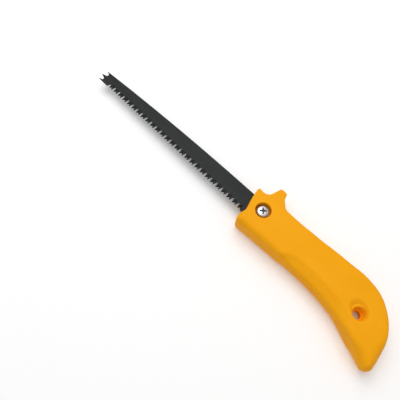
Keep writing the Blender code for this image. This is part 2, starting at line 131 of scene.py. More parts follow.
# Hanging hole
HANG_AT = (94.5 * MM, 1.5 * MM)
HANG_RADIUS = 2.9 * MM
HANG_WEB = 4.5 * MM                 # thickness of the web between the two wells
WEB_ROUND = 0.25 * MM               # round edge of the hole in the web
WELL_TOP_RADIUS = 4.6 * MM
WELL_BOTTOM_RADIUS = 3.1 * MM
WELL_RIM = 0.3 * MM                 # start of the well's fall outside its top radius
DISH_FLAT = 0.6 * MM                # the dish is at its full depth this far inside the same radius
DISH_RADIUS = 6.6 * MM
DISH_DEPTH = 2.2 * MM
DISH_LOBE = (3.4 * MM, math.radians(150))   # how far the dish runs out on one side, and where
HANG_BOSS_RADIUS = 10.0 * MM

# Points over the cheek
EDGE_ANGLES_DEG = (12, 24, 36, 48, 60, 72, 90)      # around the round edge, from the side wall in
DISH_RINGS = np.array((3.0, 3.15, 3.4, 3.7, 4.0, 4.3, 4.6, 4.9, 5.4, 6.0, 6.6, 7.2, 7.8, 8.0, 8.8)) * MM
CHEEK_GRID = 1.5 * MM
CREASE_BANDS = (-0.9 * MM, -0.3 * MM, 0.3 * MM, 0.9 * MM)
CREASE_CLEAR = 1.3 * MM             # half width of the strip that the bands fill

# Screw, washer and nut
COUNTERBORE_RADIUS = 6.1 * MM
COUNTERBORE_FLOOR = WASHER_LOW - FIT
BOLT_HOLE_RADIUS = 2.9 * MM
RIM_ROUND = 0.35 * MM
THREAD_PITCH = 0.8 * MM
SCREW_THREAD = (1.98 * MM, 2.4 * MM)    # root and crest radius
NUT_THREAD = (2.12 * MM, 2.52 * MM)     # crest and root radius
THREAD_RINGS = 8                    # rings of vertices in a turn of thread
THREAD_RIDGE = (1.35, 4.0)          # ridge height over the crest's middle, and its fall in a turn
THREAD_START = 0.8 * MM             # plain end of the shank
THREAD_NECK = 2.4 * MM              # plain neck under the head
POINT_CHAMFER = 0.35 * MM
NECK_CHAMFER = 0.25 * MM
HEAD_HEIGHT = 3.4 * MM
HEAD_LIP = 0.2 * MM
HEAD_ARC_DEG = 76
NUT_POCKET_FLATS = 8.6 * MM
RECESS_ANGLE = math.radians(43)
RECESS_REACH = 3.1 * MM
RECESS_ARM = ((-1.9 * MM, 1.1 * MM, 0.32 * MM), (0.3 * MM, 3.0 * MM, 0.72 * MM))
#            height from the head's top, half length and half width: foot and mouth of an arm
RECESS_CORE = ((0, -2.3 * MM), (0.7 * MM, -1.9 * MM), (1.35 * MM, 0.3 * MM), (0, 0.3 * MM))
RECESS_DEEPEST = 2.5 * MM
DOME_DEPTH = 1.2 * MM               # the head's own top lies no deeper
STEEP = 0.7                         # z of a face's normal
HEAD_EDGE = 1.3 * MM                # round edge of the head, below its slightly domed top
HEAD_CROWN = 0.5 * MM
WASHER_BORE = 2.75 * MM             # radius
WASHER_SOFT = 0.15 * MM
NUT_CHAMFER = 0.45 * MM
NUT_FACE_MARGIN = 0.9 * MM          # from a flat to the round edge of the nut's face
NUT_THREAD_LEAD = 0.2 * MM
HARDWARE_SMOOTH_DEG = 35

# Blade
TIP_WIDTH = 10.0 * MM
ROOT_WIDTH = 17.6 * MM
TANG_SHOULDER = -3.0 * MM           # x where the full blade width narrows to the tang
TANG_Y = (1.6 * MM, 16.2 * MM)
SLOT_WIDTH = 5.8 * MM
TOOTH_PITCH = 2.958 * MM
TOOTH_COUNT = 53
LAST_TOOTH_X = -16.9 * MM
GULLETS = (2.2 * MM, 3.9 * MM)      # height of the gullet right of an even tooth, and of an odd one
TOOTH_LEAN = 0.36                   # where along its pitch a tooth has its point
TOOTH_SET = 0.35 * MM
GULLET_FLANK = (0.14 * MM, 0.28 * MM, 0.45 * MM)    # ends of the flanks: right, left and below the gullet
GROUND_EDGE = 0.15 * MM             # thickness left at a ground edge
GROUND_TILT = (0.2, 0.96)           # z of a ground facet's normal
SPIKE_GRIND = (1.1 * MM, 0.08 * MM)     # width of the spikes' bevel, and half the edge it leaves
BACK_GRIND = (0.5 * MM, 0.25 * MM)  # width and drop of the bevel along the back
BACK_CREASE = 0.55 * MM
BACK_POINTS = 50
BLADE_SMOOTH_DEG = 14
BLADE_BOW = 1.4 * MM                # how far the back bows out in the middle
AUGER_SPIKES = ((1.2 * MM, 10.2 * MM), (0, 5.0 * MM), (1.4 * MM, 0))
AUGER_NOTCHES = ((5.0 * MM, 9.5 * MM, 6.0 * MM), (5.1 * MM, 4.0 * MM, 0.8 * MM))
NOTCH_RADIUS_X = 2.3 * MM
TIP_MESH = 9 * MM                   # length at the tip that carries a fine grid

# Handle outline, clockwise from the front top corner: x, y and fillet radius in millimetres.
# None asks for the largest arc that fits between the neighbouring corners.
HANDLE_CORNERS = (
    (-14.9, 20.5, 1.6),             # front top corner
    (-5.6, 19.7, 5.5),              # scoop ahead of the ear
    (-2.5, 32.1, 1.8),              # ear
    (3.2, 32.1, 2.2),
    (5.1, 27.0, 3.0),
    (10.6, 22.1, 4.0),
    (32.0, 22.0, None),             # back of the grip
    (54.0, 25.1, None),
    (80.0, 26.0, None),
    (98.0, 23.2, None),             # round butt
    (111.5, 12.2, None),
    (119.0, -0.7, None),
    (121.8, -11.3, None),
    (122.8, -26.4, 4.2),            # hooked tip of the butt
    (101.1, -15.5, None),
    (82.0, -9.7, None),             # belly
    (62.0, -7.3, None),
    (36.0, -7.4, None),
    (14.0, -8.7, None),
    (-9.6, -10.0, 2.6),             # nose under the blade
    (-11.2, -5.0, None),            # kinked front edge
    (-9.0, -0.5, None),
    (-10.6, 4.0, None),
    (-13.6, 13.5, None),
)

# Crease where the cheek turns down into the belly bevel: x and y in millimetres.
BELLY_CREASE = (
    (28.5, -8.5), (31.0, -6.2), (34.5, -2.7), (38.5, -0.6), (44.0, 0.4), (51.0, 0.8), (61.0, 0.5),
    (70.0, -0.4), (77.0, -1.5), (84.0, -3.2), (92.0, -6.2), (100.0, -11.0), (106.0, -16.0),
)


# ---------------------------------------------------------------- plan geometry

def rounded_path(corners):
    """Closed path of straight runs and arcs past a list of (x, y, radius) corners."""
    points = []
    count = len(corners)
    for i, (x, y, radius) in enumerate(corners):
        here = np.array((x, y))
        back = np.array(corners[i - 1][:2]) - here
        ahead = np.array(corners[(i + 1) % count][:2]) - here
        back_len = np.linalg.norm(back)
        ahead_len = np.linalg.norm(ahead)
        back /= back_len
        ahead /= ahead_len
        half_angle = math.acos(np.clip(back @ ahead, -1, 1)) / 2
        if radius is None:
            radius = 0.5 * min(back_len, ahead_len) * math.tan(half_angle)
        reach = radius / math.tan(half_angle)
        middle = back + ahead
        middle /= np.linalg.norm(middle)
        centre = here + middle * radius / math.sin(half_angle)
        first = here + back * reach - centre
        turn = math.pi - 2 * half_angle
        side = np.sign(back[0] * ahead[1] - back[1] * ahead[0])
        pieces = max(2, math.ceil(math.degrees(turn) / ARC_STEP_DEG),
                     math.ceil(turn * radius / LONGEST_EDGE))
        for k in range(pieces + 1):
            angle = -side * turn * k / pieces
            cos, sin = math.cos(angle), math.sin(angle)
            turned = (first[0] * cos - first[1] * sin, first[0] * sin + first[1] * cos)
            points.append(centre + np.array(turned))
    kept = [p for i, p in enumerate(points) if np.linalg.norm(p - points[i - 1]) > NEAREST_POINTS]
    return subdivided(np.array(kept), LONGEST_EDGE)


def subdivided(loop, longest):
    """The loop with points added on runs longer than a limit."""
    points = []
    for here, there in zip(loop, np.roll(loop, -1, axis=0)):
        steps = math.ceil(np.linalg.norm(there - here) / longest)
        points += [here + (there - here) * k / steps for k in range(steps)]
    return np.array(points)


def distance_to(path, points, closed=True):
    """Distance from each point to a path."""
    starts = path if closed else path[:-1]
    ends = np.roll(path, -1, axis=0) if closed else path[1:]
    along = ends - starts
    length2 = (along ** 2).sum(1)
    offset = points[:, None, :] - starts[None]
    share = np.clip((offset * along[None]).sum(2) / length2, 0, 1)
    return np.sqrt(((offset - share[..., None] * along[None]) ** 2).sum(2)).min(1)


def inside(path, points):
    """True for each point inside a closed path."""
    x, y = points[:, :1], points[:, 1:]
    x0, y0 = path[:, 0], path[:, 1]
    x1, y1 = np.roll(x0, -1), np.roll(y0, -1)
    crosses = ((y0 > y) != (y1 > y)) & (x < (x1 - x0) * (y - y0) / np.where(y1 == y0, 1, y1 - y0) + x0)
    return crosses.sum(1) % 2 == 1


def shifted(path, amount):
    """A clockwise path with each point moved inward along its normal."""
    tangent = np.roll(path, -1, axis=0) - np.roll(path, 1, axis=0)
    tangent /= np.linalg.norm(tangent, axis=1)[:, None]
    return path + np.stack((tangent[:, 1], -tangent[:, 0]), 1) * np.reshape(amount, (-1, 1))


def inset(path, amount, tolerance=0.03):
    """The path moved inward, without the points that fall too near another stretch of it."""
    amount = np.broadcast_to(amount, len(path))
    moved = shifted(path, amount)
    return moved[inside(path, moved) & (distance_to(path, moved) > amount * (1 - tolerance))]


def circle(centre, radius, count, start=0.0):
    """Points around a circle."""
    angles = start + np.arange(count) * math.tau / count
    return np.stack((centre[0] + radius * np.cos(angles), centre[1] + radius * np.sin(angles)), 1)


def plan_grid(loop, spacing, margin):
    """Staggered points inside a loop, no nearer to it than a margin."""
    low, high = loop.min(0), loop.max(0)
    rows = []
    for k, y in enumerate(np.arange(low[1], high[1], spacing * ROW_STEP)):
        x = np.arange(low[0] + (k % 2) * spacing / 2, high[0], spacing)
        rows.append(np.stack((x, np.full(len(x), y)), 1))
    points = np.vstack(rows)
    points = points[inside(loop, points)]
    return points[distance_to(loop, points) > margin]


def smooth_step(value, low, high):
    """0 below low, 1 above high, with a smooth change between."""
    t = np.clip((value - low) / (high - low), 0, 1)
    return t * t * (3 - 2 * t)


def filled(loops, extra=(), creases=()):
    """Triangles over the region between an outer loop and the loops inside it.

    extra are more points inside, and creases are runs of points whose edges are kept.
    """
    points = []
    edges = []
    for loop in loops:
        first = len(points)
        points += [Vector(p) for p in loop]
        edges += [(first + i, first + (i + 1) % len(loop)) for i in range(len(loop))]
    for run in creases:
        first = len(points)
        points += [Vector(p) for p in run]
        edges += [(first + i, first + i + 1) for i in range(len(run) - 1)]
    points += [Vector(p) for p in extra]
    flat, _, faces, _, _, _ = delaunay_2d_cdt(points, edges, [], 0, MERGE_DISTANCE)
    flat = np.array([tuple(p) for p in flat])
    middles = flat[np.array(faces)].mean(1)
    keep = inside(loops[0], middles)
    for hole in loops[1:]:
        keep &= ~inside(hole, middles)
    return flat, [face for face, good in zip(faces, keep) if good]


# ---------------------------------------------------------------- objects

def linked(name, source, location=BENCH):
    """Links an object made from a bmesh."""
    mesh = bpy.data.meshes.new(name)
    bmesh.ops.recalc_face_normals(source, faces=source.faces)
    source.to_mesh(mesh)
    source.free()
    made = bpy.data.objects.new(name, mesh)
    made.location = location
    bpy.context.scene.collection.objects.link(made)
    return made


def smooth(made, angle_deg):
    """Smooth shading with sharp edges above an angle."""
    made.data.shade_smooth()
    made.data.set_sharp_from_angle(angle=math.radians(angle_deg))


def nearest_verts(verts, flat, loop):
    """The vertices of a filled region that lie on a loop's points."""
    index = ((loop[:, None] - flat[None]) ** 2).sum(2).argmin(1)
    return [verts[i] for i in index]


def wall(source, lower, upper):
    """Quads between two rings of vertices."""
    count = len(lower)
    for i in range(count):
        j = (i + 1) % count
        source.faces.new((lower[i], lower[j], upper[j], upper[i]))


def lid(source, loops, level, extra=(), creases=()):
    """One filled face of a solid. Returns the vertices along each loop."""
    flat, faces = filled(loops, extra, creases)
    z = level(flat) if callable(level) else np.full(len(flat), level)
    verts = [source.verts.new((x, y, height)) for (x, y), height in zip(flat, z)]
    for face in faces:
        source.faces.new([verts[i] for i in face])
    return [nearest_verts(verts, flat, loop) for loop in loops]


def between(name, loops, low, high, extra=(), location=BENCH):
    """A closed solid over a plan region. low and high are heights, or functions of plan points."""
    source = bmesh.new()
    bottoms = lid(source, loops, low, extra if callable(low) else ())
    tops = lid(source, loops, high, extra if callable(high) else ())
    for bottom, top in zip(bottoms, tops):
        wall(source, bottom, top)
    return linked(name, source, location)


def cylinder(name, centre, radius, low, high, sides=48):
    """An upright cylinder."""
    return between(name, [circle(centre, radius, sides)], low, high)


def block(name, x, y, low, high):
    """A box from its x and y ranges and its heights."""
    return between(name, [np.array(((x[0], y[0]), (x[1], y[0]), (x[1], y[1]), (x[0], y[1])))], low, high)


def revolved(name, profile, sides=64):
    """A solid of revolution about the screw's axis; profile is (radius, z) from bottom to top.

    A radius may be a function of the angle. A profile that doesn't start on the axis gives a ring.
    """
    source = bmesh.new()
    rings = []
    angles = np.arange(sides) * math.tau / sides
    for radius, z in profile:
        if not callable(radius) and radius == 0:
            rings.append([source.verts.new((0, 0, z))])
            continue
        reach = radius(angles) if callable(radius) else np.full(sides, radius)
        ring = [(r * math.cos(a), r * math.sin(a), z) for r, a in zip(reach, angles)]
        rings.append([source.verts.new(point) for point in ring])
    pairs = list(zip(rings, rings[1:]))
    if len(rings[0]) > 1:
        pairs.append((rings[-1], rings[0]))
    for lower, upper in pairs:
        for i in range(sides):
            j = (i + 1) % sides
            corners = (lower[i % len(lower)], lower[j % len(lower)],
                       upper[j % len(upper)], upper[i % len(upper)])
            source.faces.new(dict.fromkeys(corners))
    return linked(name, source, SCREW_AXIS)


def cut(target, tools, operation="DIFFERENCE"):
    """Cuts or joins tools into a target with exact Booleans, and removes the tools."""
    for tool in tools:
        modifier = target.modifiers.new(tool.name, "BOOLEAN")
        modifier.operation = operation
        modifier.solver = "EXACT"
        modifier.object = tool
        baked = bpy.data.meshes.new_from_object(target.evaluated_get(bpy.context.evaluated_depsgraph_get()))
        target.modifiers.clear()
        target.data = baked
    for tool in tools:
        bpy.data.objects.remove(tool)


# ---------------------------------------------------------------- handle

OUTLINE = rounded_path([(x * MM, y * MM, r if r is None else r * MM) for x, y, r in HANDLE_CORNERS])
BACK = OUTLINE[(OUTLINE[:, 1] > 15 * MM) & (OUTLINE[:, 0] > 13 * MM)]
CREASE_X, CREASE_Y = np.array(BELLY_CREASE).T * MM


def edge_radius(points):
    """Radius of the round edge nearest to each point: crisp in front, soft below and at the butt's tip."""
    x, y = points[:, 0], points[:, 1]
    front = (1 - smooth_step(x, 4 * MM, 14 * MM)) * smooth_step(y, -7 * MM, -1 * MM)
    hook = smooth_step(x, 98 * MM, 116 * MM) * (1 - smooth_step(y, -12 * MM, 6 * MM))
    nose = (1 - front) * (1 - smooth_step(x, 24 * MM, 40 * MM)) * (1 - smooth_step(y, -4 * MM, 2 * MM))
    radius = EDGE_RADIUS + (FRONT_EDGE_RADIUS - EDGE_RADIUS) * front
    radius += (NOSE_EDGE_RADIUS - EDGE_RADIUS) * nose
    return radius + (TIP_EDGE_RADIUS - EDGE_RADIUS) * hook


def belly_crease(x):
    """y of the belly bevel's crease, by a smooth curve through its points."""
    slope = np.gradient(CREASE_Y, CREASE_X)
    k = np.clip(np.searchsorted(CREASE_X, x) - 1, 0, len(CREASE_X) - 2)
    width = CREASE_X[k + 1] - CREASE_X[k]
    t = np.clip((x - CREASE_X[k]) / width, 0, 1)
    return ((1 + 2 * t) * (1 - t) ** 2 * CREASE_Y[k] + t * (1 - t) ** 2 * width * slope[k]
            + t ** 2 * (3 - 2 * t) * CREASE_Y[k + 1] + t ** 2 * (t - 1) * width * slope[k + 1])


def rounded_ramp(value, softness):
    """value where it is positive and 0 elsewhere, with a soft start."""
    return (value + np.sqrt(value ** 2 + softness ** 2)) / 2


def dish_reach(points):
    """Radius of the dish around the hanging hole, in the direction of each point."""
    lobe, towards = DISH_LOBE
    angle = np.arctan2(points[:, 1] - HANG_AT[1], points[:, 0] - HANG_AT[0])
    return DISH_RADIUS + lobe * np.clip(np.cos(angle - towards), 0, 1) ** 2


def cheek_height(points):
    """Height of the handle's outer face above the parting plane, at points inside its outline."""
    x, y = points[:, 0], points[:, 1]
    height = np.full(len(points), HALF)
    beyond = belly_crease(x) - y
    fade = smooth_step(x, *BELLY_START) * (1 - smooth_step(x, *BELLY_END))
    height -= fade * BELLY_SLOPE * rounded_ramp(beyond, BELLY_SOFT)
    width, drop = BACK_BEVEL
    grip = smooth_step(x, BACK_GRIP[0], BACK_GRIP[0] + BACK_FADE[0])
    grip *= 1 - smooth_step(x, BACK_GRIP[1] - BACK_FADE[1], BACK_GRIP[1])
    share = np.clip(1 - distance_to(BACK, points, closed=False) / width, 0, 1)
    height -= grip * drop * share ** BACK_CURVE
    radius = edge_radius(points)
    share = np.clip(1 - distance_to(OUTLINE, points) / radius, 0, 1)
    height -= radius * (1 - np.sqrt(1 - share ** 2))
    from_hole = np.hypot(x - HANG_AT[0], y - HANG_AT[1])
    reach = dish_reach(points)
    dish = DISH_DEPTH * (1 - smooth_step(from_hole / reach, (WELL_TOP_RADIUS - DISH_FLAT) / DISH_RADIUS, 1))
    well_reach = WELL_TOP_RADIUS + WELL_RIM
    well = smooth_step(well_reach - from_hole, 0, well_reach - WELL_BOTTOM_RADIUS)
    floor = HALF - dish
    floor -= well * (floor - HANG_WEB / 2)
    rim = np.clip((HANG_RADIUS + WEB_ROUND - from_hole) / WEB_ROUND, 0, 1)
    floor -= WEB_ROUND * (1 - np.sqrt(1 - np.minimum(rim, 0.999) ** 2))
    return np.where(from_hole < reach, np.minimum(height, floor), height)


def cheek_points():
    """Points over the cheek, closer together where it curves."""
    rings = []
    for theta in np.radians(EDGE_ANGLES_DEG):
        rings.append(inset(OUTLINE, edge_radius(OUTLINE) * (1 - math.cos(theta))))
    dish = []
    for k, radius in enumerate(DISH_RINGS):
        ring = circle(HANG_AT, radius, 64, start=(k % 2) * math.pi / 64)
        lobed = smooth_step(radius, WELL_TOP_RADIUS, DISH_RADIUS)
        stretch = 1 + (dish_reach(ring) / DISH_RADIUS - 1) * lobed
        dish.append(HANG_AT + (ring - HANG_AT) * stretch[:, None])
    grid = plan_grid(OUTLINE, CHEEK_GRID, margin=1.0 * MM)
    grid = grid[distance_to(OUTLINE, grid) > edge_radius(grid) + 0.8 * MM]
    from_hole = np.hypot(grid[:, 0] - HANG_AT[0], grid[:, 1] - HANG_AT[1])
    grid = grid[from_hole > DISH_RINGS[-1] * dish_reach(grid) / DISH_RADIUS + 0.7 * MM]
    x = np.arange(27 * MM, 100 * MM, 1.0 * MM)
    bands = np.vstack([np.stack((x, belly_crease(x) + shift), 1) for shift in CREASE_BANDS])
    bands = bands[inside(OUTLINE, bands)]
    bands = bands[distance_to(OUTLINE, bands) > edge_radius(bands) + 0.5 * MM]
    grid = grid[np.abs(grid[:, 1] - belly_crease(grid[:, 0])) > CREASE_CLEAR]
    return np.vstack(rings + dish + [grid, bands])


def outer_half(name, side, points):
    """One half of the handle's outside, closed along the parting plane with a tiny round edge."""
    source = bmesh.new()
    hole = circle(HANG_AT, HANG_RADIUS, 64)[::-1]
    loops = [OUTLINE, hole]
    tops = lid(source, loops, lambda p: side * cheek_height(p), points)
    seam_loops = [shifted(OUTLINE, SEAM_ROUND), circle(HANG_AT, HANG_RADIUS + SEAM_ROUND, 64)[::-1]]
    seams = lid(source, seam_loops, side * SEAM / 2)
    for loop, top, seam in zip(loops, tops, seams):
        level = side * (SEAM / 2 + SEAM_ROUND)
        middle = [source.verts.new((x, y, level)) for x, y in loop]
        wall(source, top, middle)
        wall(source, middle, seam)
    return linked(name, source)


def cavity_tool():
    """The hollow of both shells: the grip's inside, less its ribs and bosses."""
    around = inset(OUTLINE, WALL)
    around = around[around[:, 0] > SEAT_END][::2]
    grid = plan_grid(around, 4 * MM, margin=1 * MM)
    tool = between("cavity", [around],
                   lambda p: WALL - cheek_height(p), lambda p: cheek_height(p) - WALL, grid)
    across = (-40 * MM, 40 * MM)
    keep = [block(f"rib_{i}", (x - RIB_THICKNESS / 2, x + RIB_THICKNESS / 2), across, *THROUGH)
            for i, x in enumerate(RIB_X)]
    keep.append(cylinder("hang_boss", HANG_AT, HANG_BOSS_RADIUS, *THROUGH))
    keep += [cylinder(f"peg_boss_{i}", spot, PEG_BOSS_RADIUS, *THROUGH) for i, spot in enumerate(PEG_SPOTS)]
    cut(tool, keep)
    return tool


def tang_pocket():
    """The slot for the blade: open at the front edge, narrowed behind the shoulders."""
    low_y, high_y = TANG_Y[0] - FIT, TANG_Y[1] + FIT
    wide_low, wide_high = -FIT, ROOT_WIDTH + 2 * FIT
    shoulder = TANG_SHOULDER + FIT
    end = TANG_END + FIT
    ahead = -30 * MM
    corners = np.array(((ahead, wide_low), (shoulder, wide_low), (shoulder + low_y - wide_low, low_y),
                        (end, low_y), (end, high_y), (shoulder + wide_high - high_y, high_y),
                        (shoulder, wide_high), (ahead, wide_high)))
    depth = BLADE_HALF + FIT
    return between("tang_pocket", [corners], -depth, depth)


def flared_bore(name, radius, floor, rim):
    """A round cutter from a floor up through the cheek, flared at the cheek for a soft rim."""
    flare = [(radius + RIM_ROUND * (1 - math.cos(a)), rim - RIM_ROUND + RIM_ROUND * math.sin(a))
             for a in np.linspace(0, math.pi / 2, 6)]
    profile = [(0, floor), (radius, floor), *flare, (radius + RIM_ROUND, THROUGH[1]), (0, THROUGH[1])]
    return revolved(name, profile, sides=96)


def hexagon(across_flats):
    """The six corners of a nut."""
    return circle((0, SCREW_Y), across_flats / math.sqrt(3), 6)


def handle_shells():
    """The two moulded halves: screw side with pegs, nut side with sockets."""
    points = cheek_points()
    screw_side = outer_half("screw_side_shell_fine", 1, points)
    nut_side = outer_half("nut_side_shell_fine", -1, points)
    for shell in (screw_side, nut_side):
        bolt_hole = cylinder("bolt_hole", (0, SCREW_Y), BOLT_HOLE_RADIUS, *THROUGH)
        cut(shell, [cavity_tool(), tang_pocket(), bolt_hole])
        smooth(shell, HANDLE_SMOOTH_DEG)
    cut(screw_side, [flared_bore("counterbore", COUNTERBORE_RADIUS, COUNTERBORE_FLOOR, HALF)])
    pocket_top = NUT_INNER + FIT
    cut(nut_side, [between("nut_pocket", [hexagon(NUT_POCKET_FLATS)], THROUGH[0], pocket_top)])
    pegs = []
    sockets = []
    for i, spot in enumerate(PEG_SPOTS):
        pegs.append(cylinder(f"peg_{i}", spot, PEG_RADIUS, -PEG_LENGTH, PEG_ROOT, sides=32))
        sockets.append(cylinder(f"socket_{i}", spot, PEG_RADIUS + FIT, -PEG_LENGTH - FIT, SOCKET_TOP,
                                sides=32))
    cut(screw_side, pegs, "UNION")
    cut(nut_side, sockets)
    for shell in (screw_side, nut_side):
        smooth(shell, HANDLE_SMOOTH_DEG)
    return screw_side, nut_side


# ---------------------------------------------------------------- blade

def blade_width(x):
    """Width of the blade from the tooth line to its slightly bowed back."""
    t = (x - TIP_X) / (LAST_TOOTH_X - TIP_X)
    return TIP_WIDTH + (ROOT_WIDTH - TIP_WIDTH) * t + 4 * BLADE_BOW * t * (1 - t)


def tooth_points(k):
    """Plan points of a tooth, k counted from the handle: gullets, upper flanks and tip."""
    tip = LAST_TOOTH_X - k * TOOTH_PITCH
    left = tip - TOOTH_LEAN * TOOTH_PITCH
    right = left + TOOTH_PITCH
    left_top, right_top = GULLETS[(k + 1) % 2], GULLETS[k % 2]
    right_of, left_of, below = GULLET_FLANK
    return {"gullet_left": (left, left_top),
            "flank_left": (left + right_of, left_top - below),
            "tip": (tip, 0),
            "flank_right": (right - left_of, right_top - below),
            "gullet_right": (right, right_top)}


def ground_creases(k):
    """Inner limits of a tooth's two ground facets: they meet in a ridge that runs to its tip."""
    p = tooth_points(k)
    (left_x, left_top), (right_x, _) = p["gullet_left"], p["gullet_right"]
    tall = max(GULLETS)
    return [(left_x + 0.08 * TOOTH_PITCH, left_top + 0.5 * MM),
            (left_x + 0.24 * TOOTH_PITCH, left_top - 0.5 * MM),
            (p["tip"][0] + 0.07 * TOOTH_PITCH, 0.22 * tall),
            (right_x - 0.36 * TOOTH_PITCH, tall - 0.4 * MM),
            (right_x - 0.02 * TOOTH_PITCH, tall + 0.9 * MM)]


def set_of_teeth(points):
    """How far the teeth are bent out of the blade's plane, alternately to each side."""
    x, y = points[:, 0], points[:, 1]
    k = np.floor((LAST_TOOTH_X + (1 - TOOTH_LEAN) * TOOTH_PITCH - x) / TOOTH_PITCH + 1e-6)
    side = np.where(k % 2 == 0, 1, -1) * ((k >= 0) & (k < TOOTH_COUNT))
    return side * TOOTH_SET * np.clip(1 - y / min(GULLETS), 0, 1)


def saw_blade():
    """The blade: three auger spikes, alternately set and ground teeth, and a forked tang."""
    spikes = auger_end()
    first = tooth_points(TOOTH_COUNT)
    teeth = [first["tip"], first["flank_right"]]
    ground = {1: [], -1: []}
    for k in reversed(range(TOOTH_COUNT)):
        p = tooth_points(k)
        teeth += [p["gullet_left"], p["flank_left"], p["tip"], p["flank_right"]]
        ground[1 if k % 2 == 0 else -1] += [p["flank_left"], p["tip"], p["flank_right"], p["gullet_right"]]
    last = tooth_points(0)["gullet_right"]
    heel = [last, (last[0] + 0.25 * MM, 0.9 * MM), (last[0] + 0.6 * MM, 0.3 * MM), (last[0] + 1.2 * MM, 0)]
    tang = [(TANG_SHOULDER, 0), (TANG_SHOULDER + TANG_Y[0], TANG_Y[0]), (TANG_END, TANG_Y[0])]
    slot = SLOT_WIDTH / 2
    tang.append((TANG_END, SCREW_Y - slot))
    for k in range(25):
        angle = -math.pi / 2 - math.pi * k / 24
        tang.append((slot * math.cos(angle), SCREW_Y + slot * math.sin(angle)))
    tang += [(TANG_END, SCREW_Y + slot), (TANG_END, TANG_Y[1])]
    shoulder_width = blade_width(TANG_SHOULDER)
    tang += [(TANG_SHOULDER + shoulder_width - TANG_Y[1], TANG_Y[1]), (TANG_SHOULDER, shoulder_width)]
    back_end = spikes[0][0]
    back_x = np.linspace(TANG_SHOULDER, back_end, BACK_POINTS)[1:-1]
    back = [(x, blade_width(x)) for x in back_x]
    loop = np.array(spikes + teeth + heel + tang + back)
    notch = np.array(spikes)
    back_line = np.array([(TANG_SHOULDER, shoulder_width)] + back + [spikes[0]])
    chamfer_line = back_line - np.array((0, BACK_CREASE))

    tip_grid = plan_grid(loop, 0.5 * MM, margin=0.2 * MM)
    tip_grid = tip_grid[tip_grid[:, 0] < TIP_X + TIP_MESH]
    tip_grid = tip_grid[distance_to(back_line, tip_grid, closed=False) > 0.8 * MM]

    def face_height(points, side):
        """Height of one face: ground down along its teeth, at the spikes and along the back."""
        drop = np.zeros(len(points))
        edge = np.array(ground[side])
        on_edge = ((points[:, None] - edge[None]) ** 2).sum(2).min(1) < (0.01 * MM) ** 2
        drop[on_edge] = 2 * BLADE_HALF - GROUND_EDGE
        spike = np.clip(1 - distance_to(notch, points, closed=False) / SPIKE_GRIND[0], 0, 1)
        drop = np.maximum(drop, spike * (BLADE_HALF - SPIKE_GRIND[1]))
        back_share = np.clip(1 - distance_to(back_line, points, closed=False) / BACK_GRIND[0], 0, 1)
        drop = np.maximum(drop, BACK_GRIND[1] * back_share)
        return side * (BLADE_HALF - drop) + set_of_teeth(points)

    source = bmesh.new()
    rims = []
    for side in (1, -1):
        creases = [ground_creases(k) for k in range(TOOTH_COUNT) if (1 if k % 2 == 0 else -1) == side]
        creases.append([tuple(p) for p in chamfer_line[2:-4]])
        rims.append(lid(source, [loop], lambda p: face_height(p, side), tip_grid, creases)[0])
    wall(source, rims[1], rims[0])
    made = linked("saw_blade_fine", source)
    smooth(made, BLADE_SMOOTH_DEG)
    return made


def auger_end():
    """The end of the blade from back to teeth: three spikes around two round notches."""
    points = []
    for (spike_x, spike_y), (bottom, high, low) in zip(AUGER_SPIKES, AUGER_NOTCHES):
        points.append((TIP_X + spike_x, spike_y))
        centre_x = TIP_X + bottom - NOTCH_RADIUS_X
        centre_y, radius_y = (high + low) / 2, (high - low) / 2
        for a in np.radians(np.linspace(90, -90, 13)):
            points.append((centre_x + NOTCH_RADIUS_X * math.cos(a), centre_y + radius_y * math.sin(a)))
    points.append((TIP_X + AUGER_SPIKES[-1][0], AUGER_SPIKES[-1][1]))
    return points


# ---------------------------------------------------------------- screw, washer and nut

def thread_radius(z, radii):
    """Radius of a right-hand thread at a height, as a function of the angle."""
    low, high = radii
    top, fall = THREAD_RIDGE

    def at(angles):
        phase = (z / THREAD_PITCH - angles / math.tau) % 1
        ridge = np.clip(top - fall * np.abs(phase - 0.5), 0, 1)
        return low + (high - low) * ridge
    return at


def clamp_screw():
    """Pan-head screw with a cross recess and a rolled thread."""
    seat = HEAD_TOP - HEAD_HEIGHT
    thread_end = SCREW_TIP + THREAD_START
    step = THREAD_PITCH / THREAD_RINGS
    steps = int((seat - THREAD_NECK - thread_end) / step)
    root = SCREW_THREAD[0]
    profile = [(0, SCREW_TIP), (root - POINT_CHAMFER, SCREW_TIP), (root, SCREW_TIP + POINT_CHAMFER)]
    heights = [thread_end + k * step for k in range(steps)]
    profile += [(thread_radius(z, SCREW_THREAD), z) for z in heights]
    neck = thread_end + steps * step
    profile += [(root, neck), (root, seat - NECK_CHAMFER), (root + NECK_CHAMFER, seat),
                (HEAD_RADIUS - HEAD_LIP, seat), (HEAD_RADIUS, seat + HEAD_LIP)]
    edge_low = HEAD_TOP - HEAD_CROWN - HEAD_EDGE
    for a in np.radians(np.linspace(0, HEAD_ARC_DEG, 9)):
        profile.append((HEAD_RADIUS - HEAD_EDGE * (1 - math.cos(a)), edge_low + HEAD_EDGE * math.sin(a)))
    rim_radius, rim_z = profile[-1]
    for share in np.linspace(0.85, 0.25, 5):
        profile.append((rim_radius * share, HEAD_TOP - (HEAD_TOP - rim_z) * share ** 2))
    profile.append((0, HEAD_TOP))
    screw = revolved("clamp_screw_fine", profile)
    tools = [recess_arm(RECESS_ANGLE + k * math.pi / 2) for k in range(2)]
    tools.append(revolved("recess_core", [(r, HEAD_TOP + z) for r, z in RECESS_CORE], sides=24))
    cut(screw, tools)
    smooth(screw, HARDWARE_SMOOTH_DEG)
    return screw


